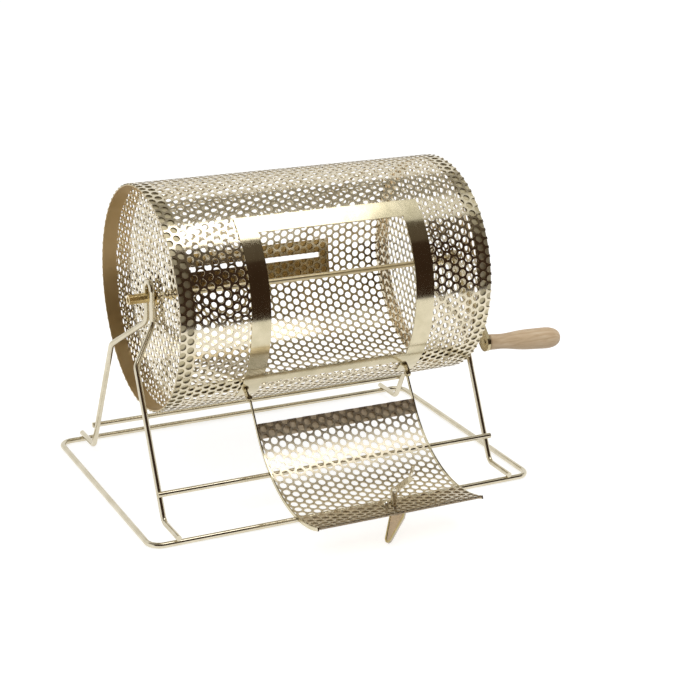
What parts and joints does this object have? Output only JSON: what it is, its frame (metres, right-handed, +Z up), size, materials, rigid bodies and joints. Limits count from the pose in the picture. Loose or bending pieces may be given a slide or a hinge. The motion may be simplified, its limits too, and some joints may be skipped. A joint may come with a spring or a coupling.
{
  "type": "raffle drum with crank",
  "caption": "Perforated brass raffle drum turning in a bent wire stand, with a hinged curved door, a thumb latch, a ticket slot and a crank with a wooden grip.",
  "frame": {"origin": "middle of the wire base loop, on the floor plane under it", "axes": "+X along the drum's axle towards the crank, -Y towards the door at the front, +Z up"},
  "size_m": [0.4392, 0.3438, 0.2799],
  "materials": {
    "wire_brass": "polished",
    "sheet_brass": "polished",
    "strip_brass": "polished",
    "hardware_brass": "satin",
    "wood": "satin"
  },
  "bodies": {
    "stand": {"base_loop": "wire_brass", "left_stand_wire": "wire_brass", "right_stand_wire": "wire_brass", "front_crossbar": "wire_brass", "back_crossbar": "wire_brass", "left_bearing_sleeve": "hardware_brass", "right_bearing_sleeve": "hardware_brass"},
    "drum": {"drum_shell": "sheet_brass", "left_end_disc": "sheet_brass", "right_end_disc": "sheet_brass", "left_end_hoop": "sheet_brass", "right_end_hoop": "sheet_brass", "left_hub_flange": "hardware_brass", "right_hub_flange": "hardware_brass", "left_strap": "strip_brass", "right_strap": "strip_brass", "left_seam_strip": "strip_brass", "right_seam_strip": "strip_brass", "top_bar": "strip_brass", "bottom_lip": "strip_brass", "slot_plate": "strip_brass", "axle_rod": "hardware_brass", "crank_spacer": "hardware_brass", "crank_arm": "hardware_brass", "axle_nut": "hardware_brass", "grip_pin": "hardware_brass", "grip_washer": "hardware_brass", "left_hinge_lug": "hardware_brass", "right_hinge_lug": "hardware_brass", "left_hinge_pin": "hardware_brass", "right_hinge_pin": "hardware_brass"},
    "door": {"door_panel": "sheet_brass", "door_hinge_band": "strip_brass", "door_free_band": "strip_brass", "left_door_side": "strip_brass", "right_door_side": "strip_brass", "stop_knob": "hardware_brass"},
    "latch": {"latch_shaft": "hardware_brass", "latch_spacer": "hardware_brass", "latch_nut": "hardware_brass", "thumb_wing": "hardware_brass", "latch_tongue": "hardware_brass"},
    "grip": {"wooden_grip": "wood"}
  },
  "joints": [
    {"name": "drum_spin", "type": "hinge", "parent": "stand", "child": "drum", "pos_m": [0.0025, 0, 0.1791], "axis": [1, 0, 0], "range_deg": [-225, 0]},
    {"name": "door_hinge", "type": "hinge", "parent": "drum", "child": "door", "pos_m": [0.0025, -0.07372, 0.10032], "axis": [1, 0, 0], "range_deg": [-116, 0]},
    {"name": "latch_turn", "type": "hinge", "parent": "door", "child": "latch", "pos_m": [0.01125, -0.18668, 0.03001], "axis": [0, -0.0958, -0.9954], "range_deg": [0, 131]},
    {"name": "grip_spin", "type": "hinge", "parent": "drum", "child": "grip", "pos_m": [0.171, -0.06435, 0.11475], "axis": [0.9976, 0, -0.0698], "continuous": true}
  ]
}
